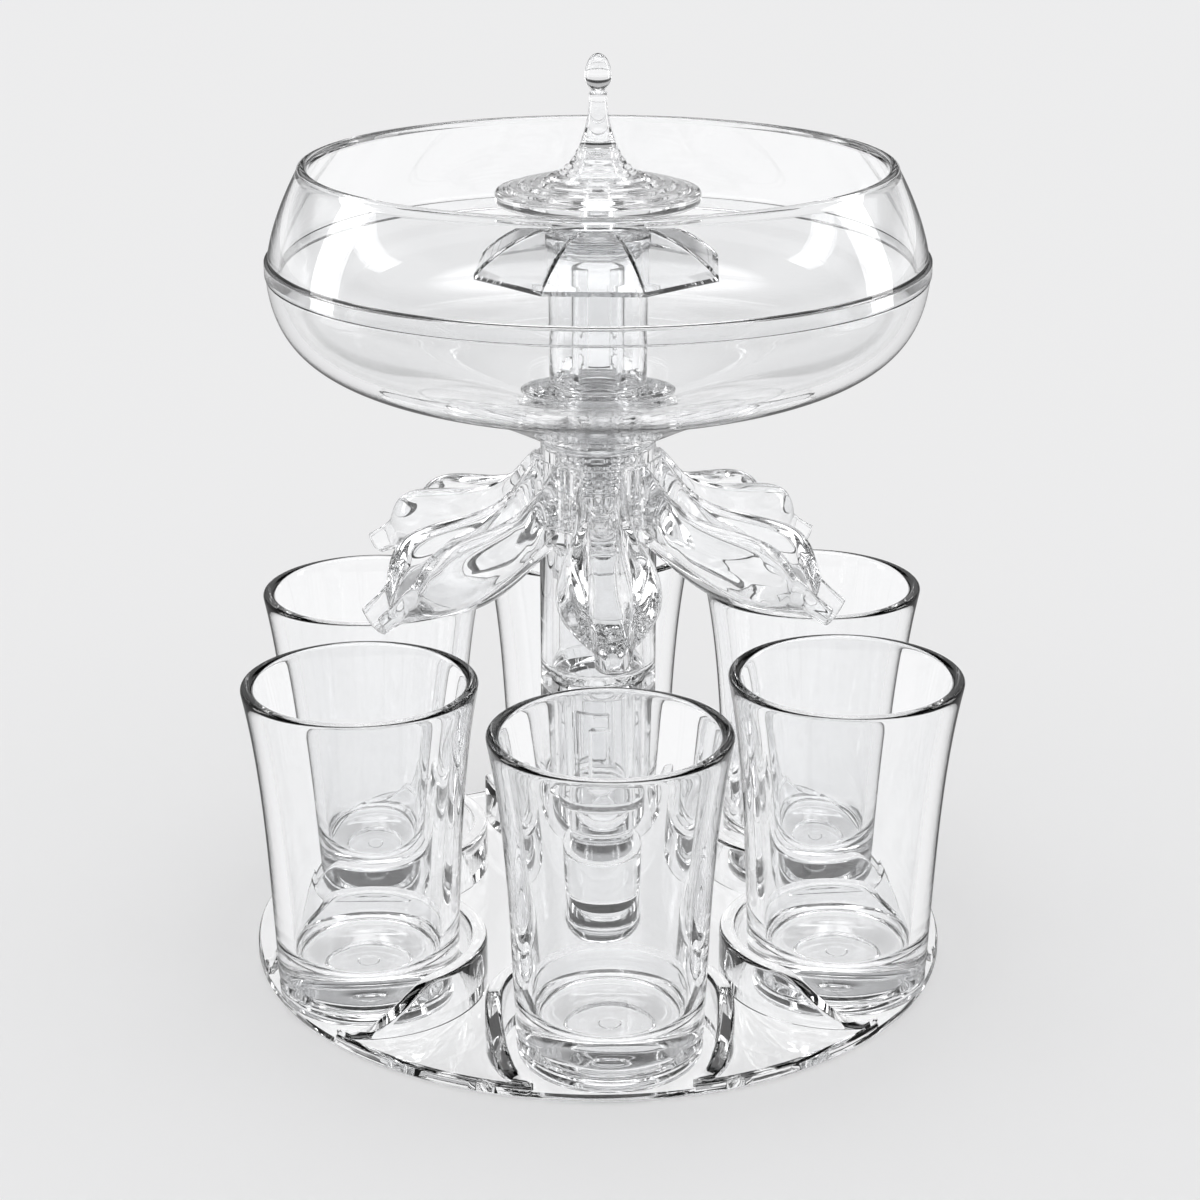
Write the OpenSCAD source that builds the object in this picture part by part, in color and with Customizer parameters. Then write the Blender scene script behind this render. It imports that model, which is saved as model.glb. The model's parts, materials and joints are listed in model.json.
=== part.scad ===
// Party shot dispenser: tray, six glasses, post and column, hub with six spout arms,
// two-piece bowl with a bell tube, and a lift-out drop stopper with its umbrella baffle.
// Millimetres. +Z is up, z = 0 is the underside of the tray, -Y is the front.

/* [Tray] */
// Radius of the tray
tray_r = 77.4; // [77:0.1:80]
// Thickness of the tray floor
tray_floor = 2; // [1.6:0.1:2.4]
// Height of the deck between the glasses
deck_top = 3.1; // [2.8:0.1:3.4]
// Height of the glass walls at the back
wall_top = 14.45; // [10:0.05:16]
// Thickness of the glass walls
wall_t = 3.5; // [3:0.1:4]
// Width of the opening at the tray edge
wall_gap = 32.4; // [30:0.1:34]

/* [Glasses] */
// Distance from the middle to a glass
ring_r = 58.95; // [58:0.05:60]
// Outer radius of a glass at its rim
rim_r = 25; // [24:0.1:25.6]
// Outer radius of a glass at its foot
foot_r = 19.35; // [18.6:0.05:19.8]
// Height of the rim above the tray's underside
glass_top = 73.25; // [66:0.05:74]
// Thickness of the solid foot
foot_t = 10; // [8:0.5:14]
// Wall at the rim
rim_wall = 2.7; // [2.2:0.1:3.2]

/* [Post and column] */
// Outer radius of the post and the column
post_r = 12.7; // [12.2:0.1:12.9]
// Radius of the spigot in the tray's socket
spigot_r = 9.65; // [9:0.05:10]
// Height of the seam between post and column
seam_z = 61; // [58:0.5:64]
// Height of the column's top
column_top = 95; // [94:0.5:95]
// Turn of the hub and its arms, as the photograph shows
head_turn = 0.9; // [0:0.1:3]
// Turn of the bayonet
bayonet_turn = 30; // [20:1:40]

/* [Bowl] */
// Height of the two shells' joint
joint_z = 154.3; // [154:0.1:155]
// Widest radius of the bowl
bowl_r = 69.3; // [68:0.1:70]
// Height of the rim
bowl_top = 176.5; // [174:0.1:178]
// Thickness of the shells
shell_t = 2.5; // [2.2:0.1:2.8]

/* [Valve] */
// Outer radius of the bell tube
bell_r = 10.5; // [10.3:0.05:10.7]
// Height of the bell tube's top
bell_top = 160.5; // [160:0.1:161]
// Outer radius of the standpipe
pipe_r = 5.6; // [5.2:0.1:6]
// Radius at the umbrella's tips
umbrella_r = 27.3; // [24:0.1:29]
// Turn of the umbrella, as the photograph shows
umbrella_turn = -4.7; // [-6:0.1:0]
// Radius of the stopper's disc
disc_r = 21.5; // [19:0.5:23]
// Radius of the egg-shaped grip
egg_r = 2.75; // [2.4:0.05:3.2]

/* [Spouts] */
// Half width of an arm's belly
belly_w = 11; // [9:0.1:12]
// Half width of an arm's spout
spout_w = 3.9; // [3.4:0.1:4.5]
// Wall of the spout's chute
chute_wall = 1.2; // [1:0.05:1.5]

/* [Hidden] */
$fn = 96;

run_gap = 0.08;
seat_gap = 0.1;

// tray
seat_r = 22.3;
wall_out = seat_r + wall_t;
boss_r = 12.3;
boss_top = 21.5;
socket_floor = 20.3;
ramp_start = -3.5;
ramp_end = 14;
tip_top = 3.75;

// post and column
neck_z = 28.5;
post_floor = 37;
sleeve_r = 8.47;
sleeve_in = 6.6;
sleeve_bottom = 39.5;
sleeve_bore = sleeve_r + run_gap;
column_in = 10.5;
lug_z = 53;
lug_h = 3.2;
lug_w = 3;
lug_reach = sleeve_in + 0.3;
slot_play = 0.25;

// hub
hex_a = 13;
hex_top = 114.2;
hub_neck_r = 12.4;
hub_neck_top = 116.6;
hub_spigot_r = column_in - run_gap;
hub_spigot_z = 87;
chamber_r = 7;
chamber_floor = 97.6;
chamber_top = 106.5;
port_z = 102.5;
port_r = 2.4;
stub_r = 3.3;
stub_len = 2.6;
thread_r = 8.6;

// bowl
seal_top = 117.6;
bowl_hole = 8.85;
boss_flat_r = 16.3;
boss_flat_z = 122.6;
gasket_top = 124;
lap_h = 3;
lap_step = 0.25;

// bell tube and standpipe
bell_in = 8.9;
flange_r = 16.8;
foot_top = 127.5;
stub_bore = pipe_r + run_gap;
window_w = 5;
window_z0 = 128.5;
window_z1 = 133;
pipe_in = 4.4;
pipe_bottom = 100;
pipe_top = bell_top - 6;
pipe_slit = 4.4;

// umbrella and stopper, counted up from the top of the bell tube
umbrella_apex = bell_top + 2.9;
umbrella_drop = 9.2;
umbrella_t = 1;
umbrella_hole = 2.9;
boss_low = bell_top + 2.65;
boss_r1 = 10.1;
boss_r2 = 11.5;
cap_z = bell_top + 3.7;
stud_r = 2.35;
stud_top = bell_top + 6.5;
disc_z = bell_top + 7.4;
disc_edge = disc_z + 2.3;
stem_top = disc_edge + 20.4;
stem_r = 1.95;
ripple_gap = 3;
egg_z = stem_top + 3.4;
// hollow in the middle of the stopper: radius, and height above the stud
hollow_h = 12.5;
hollow = [[6.4, 2], [4.6, 5], [3.4, 8], [2.7, hollow_h]];
plug_r = bell_in - 0.15;
plug_bottom = bell_top - 4;
plug_groove = 1;
ring_z = bell_top - 1.5;

// Bezier curves: the bowl's lower outline, and an arm's ridge line and keel line
bowl_curve = [[12.8, seal_top], [26.1, 124.3], [38.5, 131.7], [55.1, 130.8],
    [bowl_r - 1.4, 134.7], [bowl_r, joint_z]];
ridge_curve = [[13, 114.2], [19.4, 109.6], [20.5, 99.3], [30.1, 101.4],
    [49.3, 107.6], [50.2, 98.7], [42.6, 95.9], [56.6, 88.2]];
keel_curve = [[13, 94.1], [20.4, 88.9], [29.4, 84.6], [36.7, 82.2],
    [44.9, 87.8], [54.2, 83.2]];

// outer half section of an arm from its keel up to its ridge: at the belly, and at the spout
pod_half = [[0, -1], [0.42, -0.93], [0.74, -0.68], [0.94, -0.30], [1, 0.10], [0.95, 0.56], [0.80, 0.92]];
chute_half = [[0, -1], [0.42, -0.92], [0.76, -0.66], [0.95, -0.25], [1, 0.20], [1, 0.60], [0.98, 0.90]];
arm_rings = 22;
half_sides = 11;
arm_sides = 2 * half_sides;
// triangles that close half of a section
cap_half = [[0, 1, 11], [1, 10, 11], [1, 2, 10], [2, 9, 10], [2, 3, 9], [3, 4, 9], [4, 8, 9],
    [4, 5, 8], [5, 6, 8], [6, 7, 8]];

function choose(n, k) = k == 0 ? 1 : choose(n, k - 1) * (n - k + 1) / k;
function power(b, e) = e == 0 ? 1 : pow(b, e);
function weight(n, i, t) = choose(n, i) * power(t, i) * power(1 - t, n - i);
function sum2(p, n, t, i) = i > n ? [0, 0] : weight(n, i, t) * p[i] + sum2(p, n, t, i + 1);
function curve(p, t) = sum2(p, len(p) - 1, t, 0);
function unit2(v) = v / norm(v);
function inward(p, t) = let(d = unit2(curve(p, min(1, t + 0.01)) - curve(p, max(0, t - 0.01))))
    [-d[1], d[0]];
function quarter(cx, cz, r, a0, a1, n) =
    [for (k = [0:n]) let(a = a0 + (a1 - a0) * k / n) [cx + r * cos(a), cz + r * sin(a)]];

// ---- tray ----
module cup_places() {
    for (k = [0:5]) rotate([0, 0, 60 * k - 90]) translate([ring_r, 0, 0]) children();
}

module tray_disc() {
    rotate_extrude() polygon(concat(
        [[0, 0]],
        quarter(tray_r - 0.7, 0.7, 0.7, -90, 0, 4),
        quarter(tray_r - 0.9, deck_top - 0.9, 0.9, 0, 90, 4),
        [[0, deck_top]]));
}

// The wall's top runs level round the back, then down an S-shaped ramp to each tip
function ramp_point(u) = [ramp_start + (ramp_end - ramp_start) * u,
    wall_top - (wall_top - tip_top) * u * u * (3 - 2 * u)];

module glass_wall() {
    difference() {
        cylinder(r = wall_out, h = wall_top);
        translate([0, 0, -1]) cylinder(r = seat_r, h = wall_top + 2);
        translate([6, -wall_gap / 2, -1]) cube([60, wall_gap, 40]);
        rotate([90, 0, 0]) translate([0, 0, -40]) linear_extrude(height = 80)
            polygon(concat([[ramp_start, wall_top + 1]],
                [for (i = [0:8]) ramp_point(i / 8)],
                [[60, tip_top - 0.2], [60, wall_top + 1]]));
    }
}

module tray() {
    color([0.86, 0.93, 0.95, 0.5]) difference() {
        union() {
            difference() {
                tray_disc();
                cup_places() translate([0, 0, tray_floor]) cylinder(r = seat_r, h = 20);
                cup_places() translate([0, -wall_gap / 2, tray_floor]) cube([60, wall_gap, 20]);
            }
            intersection() {
                cup_places() glass_wall();
                cylinder(r = tray_r - 0.35, h = 40);
            }
            rotate_extrude() polygon(concat(
                [[0, 1]],
                [[boss_r + 2.2, 1], [boss_r + 2.2, deck_top]],
                quarter(boss_r + 2.2, deck_top + 2.2, 2.2, 270, 180, 5),
                quarter(boss_r - 0.6, boss_top - 0.6, 0.6, 0, 90, 3),
                [[0, boss_top]]));
        }
        translate([0, 0, socket_floor]) cylinder(r = spigot_r + seat_gap, h = 40);
    }
}

// ---- post and column ----
module base_post() {
    color([0.88, 0.94, 0.96, 0.5]) {
        rotate_extrude() polygon([
            [0, socket_floor], [spigot_r - 0.6, socket_floor], [spigot_r, socket_floor + 0.6],
            [spigot_r, neck_z - 0.5], [spigot_r + 0.5, neck_z], [post_r - 0.5, neck_z],
            [post_r, neck_z + 0.5], [post_r, seam_z], [sleeve_bore, seam_z],
            [sleeve_bore, post_floor], [0, post_floor]]);
        for (k = [0:1]) rotate([0, 0, 180 * k - 90]) translate([lug_reach, -lug_w / 2, lug_z])
            cube([post_r - 1.5 - lug_reach, lug_w, lug_h]);
    }
}

module bayonet_slots() {
    half = asin((lug_w / 2 + slot_play) / lug_reach) + 1;
    for (k = [0:1]) rotate([0, 0, 180 * k - 90]) {
        rotate([0, 0, -bayonet_turn - half])
            translate([0, 0, lug_z - slot_play])
            rotate_extrude(angle = bayonet_turn + 2 * half)
            translate([sleeve_in - 1, 0]) square([4, lug_h + 2 * slot_play]);
        rotate([0, 0, -bayonet_turn])
            translate([sleeve_in - 1.5, -lug_w / 2 - slot_play, sleeve_bottom - 1])
            cube([4, lug_w + 2 * slot_play, lug_z + lug_h + slot_play - sleeve_bottom + 1]);
    }
}

module column() {
    color([0.9, 0.95, 0.97, 0.5]) difference() {
        rotate_extrude() polygon([
            [sleeve_in, sleeve_bottom], [sleeve_r - 0.4, sleeve_bottom],
            [sleeve_r, sleeve_bottom + 0.4], [sleeve_r, seam_z], [post_r, seam_z],
            [post_r, column_top], [column_in, column_top], [column_in, seam_z + 5],
            [sleeve_in, seam_z + 2]]);
        bayonet_slots();
    }
}

// ---- hub and arms ----
module arm_places(k) {
    rotate([0, 0, 60 * k - 90 + head_turn]) children();
}

module manifold_hub() {
    color([0.84, 0.91, 0.94, 0.5]) rotate([0, 0, head_turn]) difference() {
        union() {
            translate([0, 0, column_top])
                cylinder(r = hex_a / cos(30), h = hex_top - column_top, $fn = 6);
            translate([0, 0, hex_top - 1]) cylinder(r = hub_neck_r, h = hub_neck_top - hex_top + 1);
            translate([0, 0, hub_spigot_z]) cylinder(r = hub_spigot_r, h = column_top - hub_spigot_z + 1);
            for (k = [0:5]) rotate([0, 0, 60 * k - 90]) translate([0, 0, port_z]) rotate([0, 90, 0])
                cylinder(r = stub_r, h = hex_a + stub_len);
        }
        translate([0, 0, chamber_floor]) cylinder(r = chamber_r, h = 40);
        translate([0, 0, chamber_top]) cylinder(r = thread_r, h = 40);
        translate([0, 0, hub_spigot_z - 1]) cylinder(r = chamber_r, h = column_top - hub_spigot_z - 1);
        for (k = [0:5]) rotate([0, 0, 60 * k - 90]) translate([0, 0, port_z]) rotate([0, 90, 0])
            cylinder(r = port_r, h = hex_a + stub_len + 1);
    }
}

// An arm is a solid trough, open on top: narrow root, full belly, then a narrow chute
function smooth(u) = let(v = min(1, max(0, u))) v * v * (3 - 2 * v);
root_w = 5.6;
belly_from = 38;
function arm_w(r) = r < belly_from
    ? root_w + (belly_w - root_w) * smooth((r - hex_a) / (belly_from - hex_a))
    : max(spout_w, belly_w - (belly_w - spout_w) * pow((r - belly_from) / 12.5, 2.2));
function spoutness(t) = smooth((t - 0.68) / 0.24);
// half width of the channel: wide round the hub's stub, narrow at the neck, wide again at the belly's end
channel_neck = spout_w - chute_wall;
function channel_w(t) = channel_neck
    + (stub_r + 0.45 - channel_neck) * (1 - smooth((t - 0.08) / 0.14))
    + 1.4 * smooth((t - 0.3) / 0.4) * (1 - smooth((t - 0.8) / 0.15));
// height of the channel's floor above the keel
function floor_t(t) = 5 - (5 - chute_wall) * smooth((t - 0.3) / 0.7);
function half_index(j) = j <= half_sides ? j : arm_sides - j;
function half_point(i, t, w, h) =
    let(s = spoutness(t), c = channel_w(t), f = floor_t(t) - h)
    i < 7 ? let(q = (1 - s) * pod_half[i] + s * chute_half[i]) [q[0] * w, q[1] * h]
    : [[((0.8 + 0.2 * s) * w + c) / 2, h], [c + 0.2, h - 0.9], [c, f + 1], [0.7 * c, f], [0, f]][i - 7];
function section_point(t, j) =
    let(top = curve(ridge_curve, t), low = curve(keel_curve, t), mid = (top + low) / 2,
        up = unit2(top - low), q = half_point(half_index(j), t, arm_w(mid[0]), norm(top - low) / 2),
        c = mid + up * q[1])
    [c[0], j <= half_sides ? q[0] : -q[0], c[1]];
function ring_of(t) = [for (j = [0:arm_sides - 1]) section_point(t, j)];
function flip_face(f) = [f[0], f[2], f[1]];
function cap(base, flip) = [for (f = cap_half, side = [0, 1])
    let(g = [for (v = f) base + (side == 0 ? v : (arm_sides - v) % arm_sides)])
    (side == 1) != flip ? flip_face(g) : g];
function skin(n, m, base, flip) = [for (i = [0:n - 2], j = [0:m - 1])
    let(a = base + i * m + j, b = base + i * m + (j + 1) % m, c = b + m, d = a + m)
    for (f = flip ? [[a, b, c], [a, c, d]] : [[a, c, b], [a, d, c]]) f];
function end_ring(m, a0, b0, flip) = [for (j = [0:m - 1])
    let(a = a0 + j, b = a0 + (j + 1) % m, c = b0 + (j + 1) % m, d = b0 + j)
    for (f = flip ? [[a, b, c], [a, c, d]] : [[a, c, b], [a, d, c]]) f];

module spout_arm(k) {
    n = arm_rings + 1;
    m = arm_sides;
    pts = [for (i = [0:arm_rings]) each ring_of(i / arm_rings)];
    faces = concat(skin(n, m, 0, false), cap(0, false), cap((n - 1) * m, true));
    color([0.84, 0.92, 0.95, 0.5]) arm_places(k)
        polyhedron(points = pts, faces = faces, convexity = 6);
}

// ---- bowl ----
module neck_seal() {
    color([0.75, 0.8, 0.82, 0.7]) translate([0, 0, hub_neck_top]) difference() {
        cylinder(r = hub_neck_r - 0.2, h = seal_top - hub_neck_top);
        translate([0, 0, -1]) cylinder(r = 9.2, h = 4);
    }
}

module bowl_lower() {
    n = 28;
    outer = [for (i = [0:n]) curve(bowl_curve, i / n)];
    inner = [for (i = [n:-1:0]) let(t = i / n, p = curve(bowl_curve, t) + shell_t * inward(bowl_curve, t))
        if (p[0] > boss_flat_r + 0.4 && p[1] < joint_z) p];
    color([0.88, 0.94, 0.96, 0.5]) rotate_extrude() polygon(concat(
        [[bowl_hole, seal_top]],
        outer,
        [[bowl_r - 1.2, joint_z], [bowl_r - 1.2, joint_z + lap_h - seat_gap],
            [bowl_r - shell_t, joint_z + lap_h - seat_gap]],
        inner,
        [[boss_flat_r, boss_flat_z], [bowl_hole, boss_flat_z]]));
}

upper_from = joint_z + 1.2;
upper_in = 6.85;
function upper_r(z) = bowl_r - lap_step
    - upper_in * pow(max(0, z - upper_from) / (bowl_top - 1.1 - upper_from), 1.6);

module bowl_upper() {
    n = 12;
    z0 = joint_z + lap_h;
    z1 = bowl_top - 1.1;
    lip_r = upper_r(z1);
    outer = [for (i = [0:n]) let(z = z0 + (z1 - z0) * i / n) [upper_r(z), z]];
    inner = [for (i = [n:-1:1]) let(z = z0 + (z1 - z0) * i / n) [upper_r(z) - shell_t, z]];
    color([0.9, 0.95, 0.97, 0.5]) rotate_extrude() polygon(concat(
        [[bowl_r - 1.1, joint_z], [bowl_r + lap_step, joint_z], [bowl_r + lap_step, z0]],
        outer,
        quarter(lip_r - shell_t / 2, z1, shell_t / 2, 25, 155, 5),
        inner,
        [[upper_r(z0) - shell_t, z0], [bowl_r - 1.1, z0]]));
}

// ---- valve ----
module bell_tube() {
    stub_r0 = 8;
    color([0.86, 0.93, 0.96, 0.5]) difference() {
        rotate_extrude() polygon(concat(
            [[stub_bore, chamber_top + 0.5], [stub_r0, chamber_top + 0.5]],
            [for (i = [0:5], e = [0:3]) [e == 0 || e == 3 ? stub_r0 : 8.5,
                chamber_top + 1 + 1.5 * i + [0, 0.45, 0.75, 1.2][e]]],
            [[stub_r0, seal_top], [8.5, seal_top], [8.5, gasket_top],
                [flange_r, gasket_top], [flange_r, gasket_top + 1.4],
                [flange_r - 2, gasket_top + 1.7], [flange_r - 2.2, gasket_top + 2.1],
                [flange_r - 4, gasket_top + 2.3], [flange_r - 4.2, gasket_top + 2.7],
                [bell_r, gasket_top + 2.8],
                [bell_r, bell_top - 2.6], [bell_r + 0.45, bell_top - 2.4],
                [bell_r + 0.45, bell_top - 0.3], [bell_r + 0.15, bell_top],
                [bell_in, bell_top], [bell_in, foot_top], [stub_bore, foot_top]]));
        for (k = [0:3]) rotate([0, 0, 90 * k + 45])
            translate([bell_in - 1.5, -window_w / 2, window_z0])
            cube([4, window_w, window_z1 - window_z0]);
    }
}

module flange_gasket() {
    color([0.8, 0.84, 0.86, 0.7]) translate([0, 0, boss_flat_z]) difference() {
        cylinder(r = boss_flat_r - 0.3, h = gasket_top - boss_flat_z);
        translate([0, 0, -1]) cylinder(r = bowl_hole, h = 4);
    }
}

module standpipe() {
    color([0.86, 0.92, 0.95, 0.5]) difference() {
        translate([0, 0, pipe_bottom]) cylinder(r = pipe_r, h = pipe_top - pipe_bottom);
        translate([0, 0, pipe_bottom - 1]) cylinder(r = pipe_in, h = 80);
        translate([-pipe_slit / 2, -10, window_z1]) cube([pipe_slit, 10, 40]);
    }
}

// Top of the umbrella: eight ribs that arch down from the middle, flat gores between them
function rib_z(r) = umbrella_apex - umbrella_drop * pow(r / umbrella_r, 2.8);
function umbrella_ring(u, drop) = [for (i = [0:7])
    let(a = 45 * i + 22.5 + umbrella_turn, r = umbrella_hole + (umbrella_r - umbrella_hole) * u)
    [r * cos(a), r * sin(a), rib_z(r) - drop]];

module umbrella_baffle() {
    rings = 9;
    n = rings + 1;
    m = 8;
    pts = concat(
        [for (i = [0:rings]) each umbrella_ring(i / rings, umbrella_t)],
        [for (i = [0:rings]) each umbrella_ring(i / rings, 0)]);
    faces = concat(
        skin(n, m, 0, false),
        skin(n, m, n * m, true),
        end_ring(m, 0, n * m, true),
        end_ring(m, (n - 1) * m, n * m + (n - 1) * m, false));
    color([0.9, 0.95, 0.97, 0.5]) polyhedron(points = pts, faces = faces, convexity = 6);
}

// ---- stopper ----
// One smooth curve from the disc's edge up the stem to the grip, with ripples that fade out on the stem
flare_curve = [[disc_r - 0.3, disc_edge + 0.4], [0.805 * disc_r, disc_edge + 2], [0.251 * disc_r, disc_edge + 4.7],
    [0.284 * disc_r, disc_edge + 0.6], [0.8, stem_top - 4.2], [stem_r, stem_top]];
function ripple(r) = r > 8 ? 0.15 * cos(360 * (disc_r - 0.3 - r) / ripple_gap) - 0.15
    : (0.05 * cos(360 * (disc_r - 0.3 - r) / ripple_gap) - 0.05) * smooth((r - 4) / 4);

module drop_stopper() {
    n = 84;
    rise = [for (i = [0:n]) let(p = curve(flare_curve, i / n)) [p[0], p[1] + ripple(p[0])]];
    egg = [for (i = [1:12]) let(a = -72 + 162 * i / 12, h = a > 0 ? 4.5 : 3.3)
        [max(0, egg_r * cos(a)), egg_z + h * sin(a)]];
    color([0.85, 0.93, 0.97, 0.5]) difference() {
        rotate_extrude() polygon(concat(
            [[0, boss_low], [boss_r1, boss_low], [boss_r1 + 0.25, boss_low + 0.9],
                [boss_r1 + 0.8, boss_low + 2.9], [boss_r2, disc_z], [disc_r - 0.5, disc_z],
                [disc_r, disc_z + 0.5], [disc_r, disc_edge - 0.35]],
            rise, egg, [[0, egg_z + 4.5]]));
        rotate_extrude() polygon(concat(
            [[0, boss_low - 1], [boss_r1 - 0.9, boss_low - 1],
                [boss_r1 - 0.9, boss_low + 0.3], [boss_r1 - 1.7, cap_z], [stud_r + seat_gap, cap_z],
                [stud_r + seat_gap, stud_top + 1]],
            [for (h = hollow) [h[0], stud_top + h[1]]],
            [[0, stud_top + hollow_h]]));
    }
}

module stopper_plug() {
    color([0.82, 0.9, 0.94, 0.5]) difference() {
        rotate_extrude() polygon([
            [0, plug_bottom], [plug_r - 0.8, plug_bottom], [plug_r, plug_bottom + 0.8],
            [plug_r, ring_z - 0.75], [plug_r - plug_groove, ring_z - 0.75],
            [plug_r - plug_groove, ring_z + 0.75], [plug_r, ring_z + 0.75], [plug_r, bell_top],
            [stud_r, bell_top], [stud_r, stud_top], [0, stud_top]]);
        translate([0, 0, plug_bottom - 1]) cylinder(r = plug_r - 2.05, h = 3.2);
    }
}

module stopper_ring() {
    color([0.3, 0.33, 0.35, 0.8]) rotate_extrude()
        translate([plug_r - 0.4, ring_z]) circle(r = 0.5, $fn = 24);
}

// ---- glasses ----
function glass_r(u) = foot_r + 2.6 * u + (rim_r - foot_r - 2.6) * pow(u, 4);

module shot_glass(k) {
    h = glass_top - tray_floor;
    n = 16;
    floor_z = tray_floor + foot_t;
    outer = [for (i = [1:n]) let(u = i / n) [glass_r(u), tray_floor + h * u - (i == n ? 1.3 : 0)]];
    inner = [for (i = [n:-1:4]) let(u = i / n)
        [glass_r(u) - rim_wall - 1.3 * (1 - u), tray_floor + h * u - (i == n ? 1.3 : 0)]];
    low_r = glass_r(4 / n) - rim_wall - 1.3 * (1 - 4 / n) - 0.35;
    color([0.87, 0.94, 0.97, 0.5]) rotate([0, 0, 60 * k - 90]) translate([ring_r, 0, 0])
        rotate_extrude() polygon(concat(
            [[0, tray_floor + 1.1], [2.2, tray_floor + 1.1], [2.6, tray_floor + 1.5],
                [9.2, tray_floor + 1.5], [9.8, tray_floor]],
            quarter(foot_r - 1, tray_floor + 1, 1, -90, 0, 3),
            [[foot_r, tray_floor + 3], [foot_r - 0.35, tray_floor + 3.3],
                [foot_r - 0.35, tray_floor + 3.8], [foot_r + 0.1, tray_floor + 4.1]],
            outer,
            quarter(rim_r - rim_wall / 2, glass_top - 1.3, rim_wall / 2, 20, 160, 5),
            inner,
            quarter(low_r - 5, floor_z + 5, 5, 0, -90, 5),
            [[0, floor_z]]));
}

tray();
base_post();
column();
manifold_hub();
spout_arm(0);  // spout_arm_1
spout_arm(1);  // spout_arm_2
spout_arm(2);  // spout_arm_3
spout_arm(3);  // spout_arm_4
spout_arm(4);  // spout_arm_5
spout_arm(5);  // spout_arm_6
neck_seal();
bowl_lower();
bowl_upper();
bell_tube();
flange_gasket();
standpipe();
umbrella_baffle();
drop_stopper();
stopper_plug();
stopper_ring();
shot_glass(0);  // shot_glass_1
shot_glass(1);  // shot_glass_2
shot_glass(2);  // shot_glass_3
shot_glass(3);  // shot_glass_4
shot_glass(4);  // shot_glass_5
shot_glass(5);  // shot_glass_6
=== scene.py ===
import json
import math
import bpy
import bmesh
from mathutils import Vector, Matrix


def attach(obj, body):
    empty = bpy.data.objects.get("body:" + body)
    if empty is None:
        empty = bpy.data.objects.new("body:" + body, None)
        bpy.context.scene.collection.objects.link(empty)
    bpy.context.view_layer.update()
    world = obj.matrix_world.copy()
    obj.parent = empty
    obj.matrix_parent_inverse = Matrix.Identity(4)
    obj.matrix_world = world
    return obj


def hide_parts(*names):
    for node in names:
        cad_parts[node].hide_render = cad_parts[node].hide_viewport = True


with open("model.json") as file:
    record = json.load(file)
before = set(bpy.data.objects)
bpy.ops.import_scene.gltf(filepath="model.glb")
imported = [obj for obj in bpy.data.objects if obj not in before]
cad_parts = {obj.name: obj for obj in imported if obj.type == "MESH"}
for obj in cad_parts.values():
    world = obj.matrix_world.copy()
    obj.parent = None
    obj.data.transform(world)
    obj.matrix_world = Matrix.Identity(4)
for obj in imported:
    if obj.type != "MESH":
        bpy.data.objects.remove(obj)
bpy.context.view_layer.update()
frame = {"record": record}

scene = bpy.context.scene
MM = 0.001
SLIT = 0.02    # between faces that touch in the CAD, so that no two lie in one plane

# ---------------------------------------------------------------- sizes shared by several pieces, named as in the CAD
COUNT = 6
TURNS = [60 * k - 90 for k in range(COUNT)]    # of the glasses and the arms; the first is at the front
LUG_TURNS = [180 * k - 90 for k in range(2)]
HEAD_TURN, UMBRELLA_TURN = 0.9, -4.7

TRAY_R, TRAY_FLOOR, DECK_TOP = 77.4, 2.0, 3.1
RING_R, SEAT_R, WALL_OUT, HALF_GAP = 58.95, 22.3, 25.8, 16.2
WALL_TOP, TIP_TOP, RAMP_START, RAMP_END = 14.45, 3.75, -3.5, 14.0
BOSS_R, BOSS_TOP, SOCKET_R, SOCKET_Z = 12.3, 21.5, 9.75, 20.3

POST_R, SPIGOT_R, NECK_Z, POST_FLOOR, SEAM_Z = 12.7, 9.65, 28.5, 37.0, 61.0
SLEEVE_R, SLEEVE_BORE, SLEEVE_IN, SLEEVE_BOTTOM = 8.47, 8.55, 6.6, 39.5
COLUMN_IN, COLUMN_TOP = 10.5, 95.0
LUG_Z, LUG_H, LUG_W, SLOT_PLAY, BAYONET_TURN = 53.0, 3.2, 3.0, 0.25, 30.0

HEX_A, HEX_TOP, HUB_NECK_R, HUB_NECK_TOP = 13.0, 114.2, 12.4, 116.6
HUB_SPIGOT_R, HUB_SPIGOT_Z = 10.42, 87.0
CHAMBER_R, CHAMBER_FLOOR, CHAMBER_TOP, THREAD_R = 7.0, 97.6, 106.5, 8.6
PORT_Z, PORT_R, STUB_R = 102.5, 2.4, 3.3

SEAL_TOP, BOWL_HOLE, BOSS_FLAT_R, BOSS_FLAT_Z = 117.6, 8.85, 16.3, 122.6
JOINT_Z, BOWL_R, BOWL_TOP, SHELL_T = 154.3, 69.3, 176.5, 2.5
LAP_R, LAP_TOP = 68.1, 157.2                   # the lower shell's tongue inside the upper one

BELL_R, BELL_IN, BELL_TOP, FLANGE_Z = 10.5, 8.9, 160.5, 124.0
PIPE_R, PIPE_IN, PIPE_TOP = 5.6, 4.4, 154.5
UMBRELLA_R, UMBRELLA_TOP = 27.3, 163.4
DISC_R, EGG_R, EGG_Z, GRIP_TOP = 21.5, 2.75, 194.0, 198.5
GROOVE_R, GROOVE_LOW, GROOVE_TOP, PLUG_R = 7.75, 158.25, 159.75, 8.75

FOOT_R, RIM_R, GLASS_TOP, RIM_WALL = 19.35, 25.0, 73.25, 2.7

# ---------------------------------------------------------------- camera, fitted to the ellipses in the photograph
SENSOR, LENS, SHIFT_X = 36.0, 76.12, 0.0016
CAMERA_AWAY, CAMERA_UP, CAMERA_TURN, AIM_Z = 524.9, 266.95, -2.37, 80.08


def look_at(obj, aim):
    obj.rotation_euler = (Vector(aim) - obj.location).to_track_quat("-Z", "Y").to_euler()


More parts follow.
